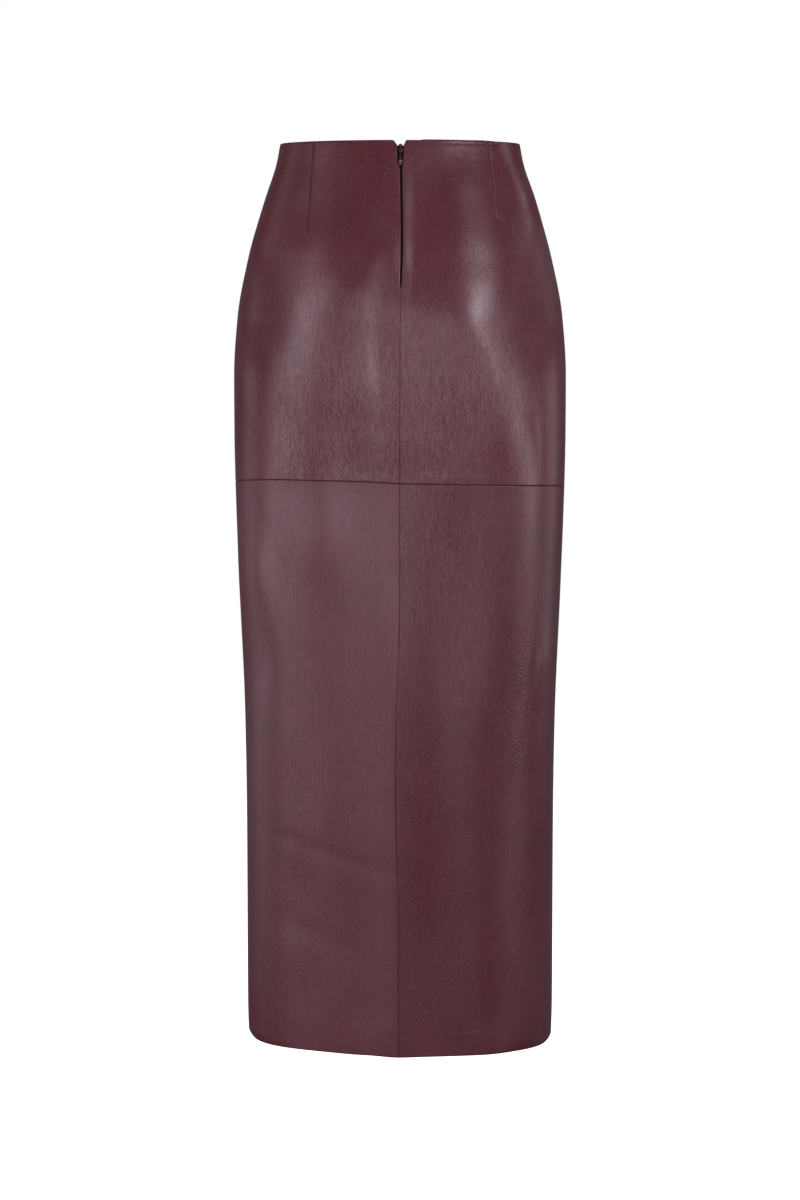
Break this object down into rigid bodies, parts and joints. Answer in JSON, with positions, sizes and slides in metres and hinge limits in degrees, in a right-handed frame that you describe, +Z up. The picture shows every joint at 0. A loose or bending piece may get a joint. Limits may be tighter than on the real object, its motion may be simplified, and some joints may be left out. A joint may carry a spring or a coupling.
{
  "type": "leather skirt",
  "caption": "High-waisted ankle-length pencil skirt in panelled leather, a hollow worn form open at waist and hem, with a hidden centre back zip and a swinging pull tab.",
  "frame": {"origin": "centre of the waist opening, at the height of its top edge, where the wearer's waist holds it", "axes": "+Z up, -Y the wearer's back, where the zip is, +X the wearer's right"},
  "size_m": [0.3474, 0.2486, 0.9434],
  "materials": {
    "leather": "semi-gloss burgundy nappa with a fine grain",
    "facing": "semi-gloss burgundy nappa, grain side in, edge-stitched to the waist",
    "zip_tape": "matt woven tape with a fine coil, near black",
    "slider": "black enamel",
    "pull": "glossy burgundy enamel"
  },
  "bodies": {
    "skirt": {"back_upper_left": "leather", "back_upper_right": "leather", "back_lower_left": "leather", "back_lower_right": "leather", "front_upper": "leather", "front_lower": "leather", "facing_back_left": "facing", "facing_back_right": "facing", "facing_front": "facing", "zip_tape_left": "zip_tape", "zip_tape_right": "zip_tape", "zip_slider": "slider"},
    "zip_pull": {"zip_pull": "pull"}
  },
  "joints": [
    {"name": "pull_swing", "type": "hinge", "parent": "skirt", "child": "zip_pull", "pos_m": [0.0005, -0.09044, -0.00759], "axis": [-1, 0, 0], "range_deg": [0, 170]}
  ]
}
